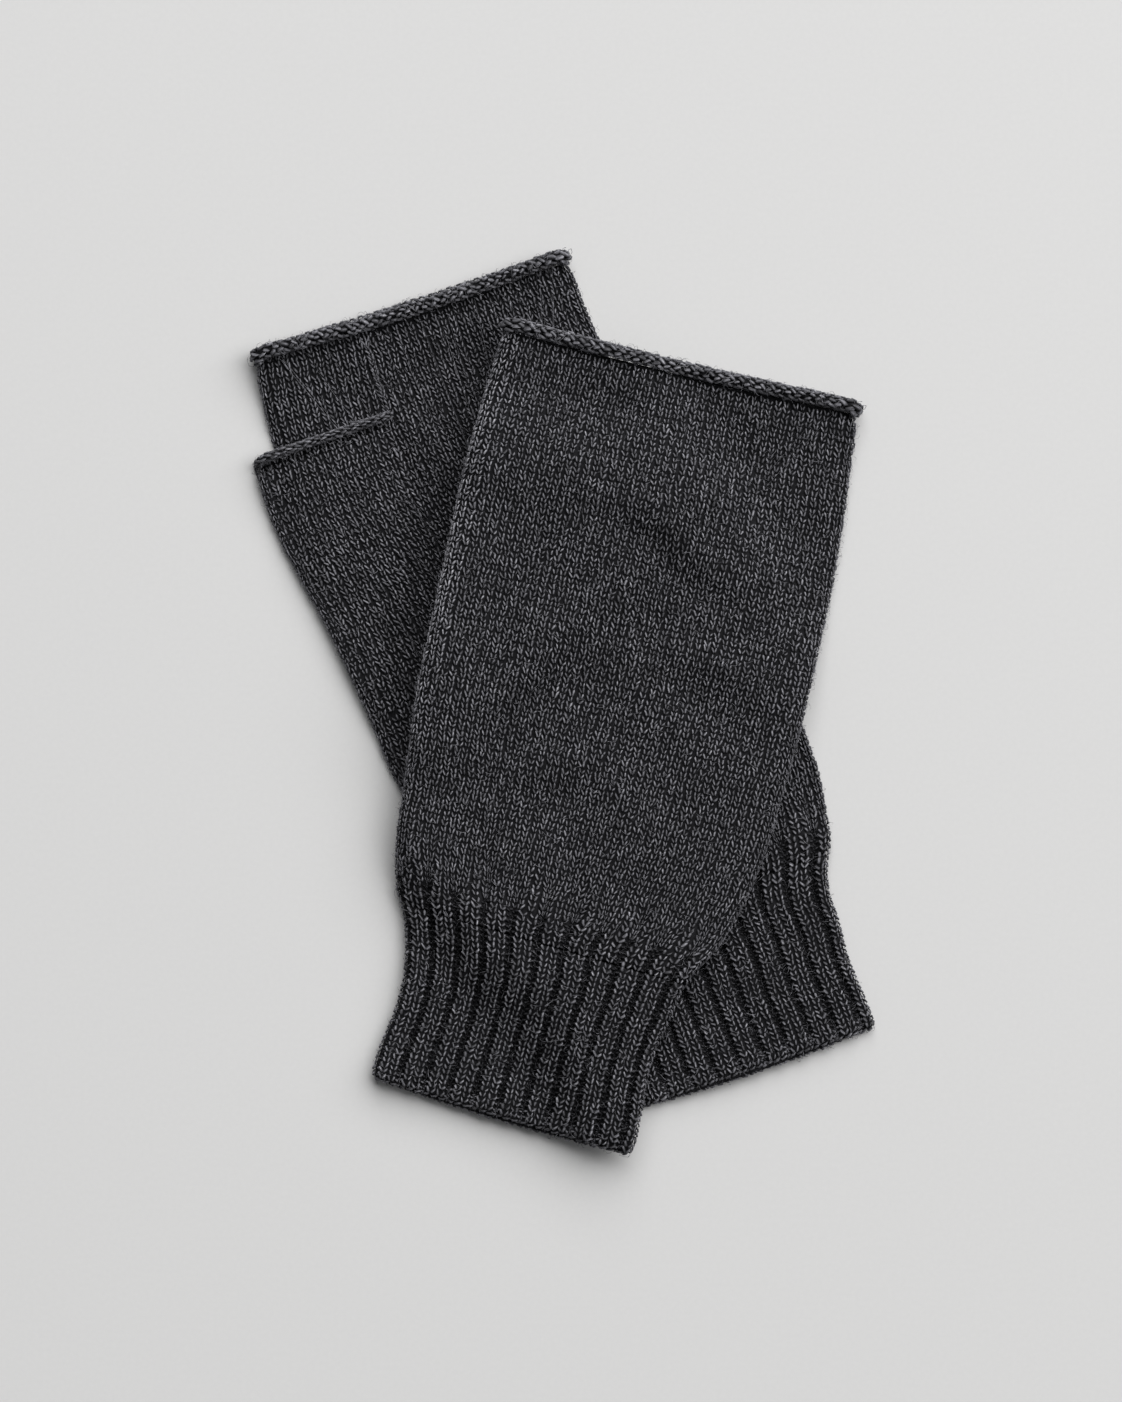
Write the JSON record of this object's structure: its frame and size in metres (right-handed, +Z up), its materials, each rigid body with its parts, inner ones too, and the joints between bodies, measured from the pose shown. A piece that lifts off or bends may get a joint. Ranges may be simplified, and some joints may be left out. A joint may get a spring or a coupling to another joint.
{
  "type": "pair of arm warmers",
  "caption": "Pair of fingerless knit arm warmers lying flat, one across the other, with ribbed cuffs, thumbs and rolled edges.",
  "frame": {"origin": "on the surface the pair lies on, under the middle of the pair's box", "axes": "+Z up from the surface; +Y along the pair, from the ribbed cuffs to the finger edges; +X across it"},
  "size_m": [0.1636, 0.237, 0.0139],
  "materials": {
    "plain_knit": "charcoal melange wool in plain knit, matt, faintly hairy",
    "rib_knit": "the same wool in two-by-two rib, matt",
    "rolled_edge": "the same wool, its cast-off edge rolled outwards, matt"
  },
  "bodies": {
    "root": {"lower_cuff": "rib_knit", "lower_hand": "plain_knit", "lower_finger_roll": "rolled_edge", "lower_thumb": "plain_knit", "lower_thumb_roll": "rolled_edge", "upper_cuff": "rib_knit", "upper_hand": "plain_knit", "upper_finger_roll": "rolled_edge", "upper_thumb": "plain_knit", "upper_thumb_roll": "rolled_edge"}
  },
  "joints": []
}
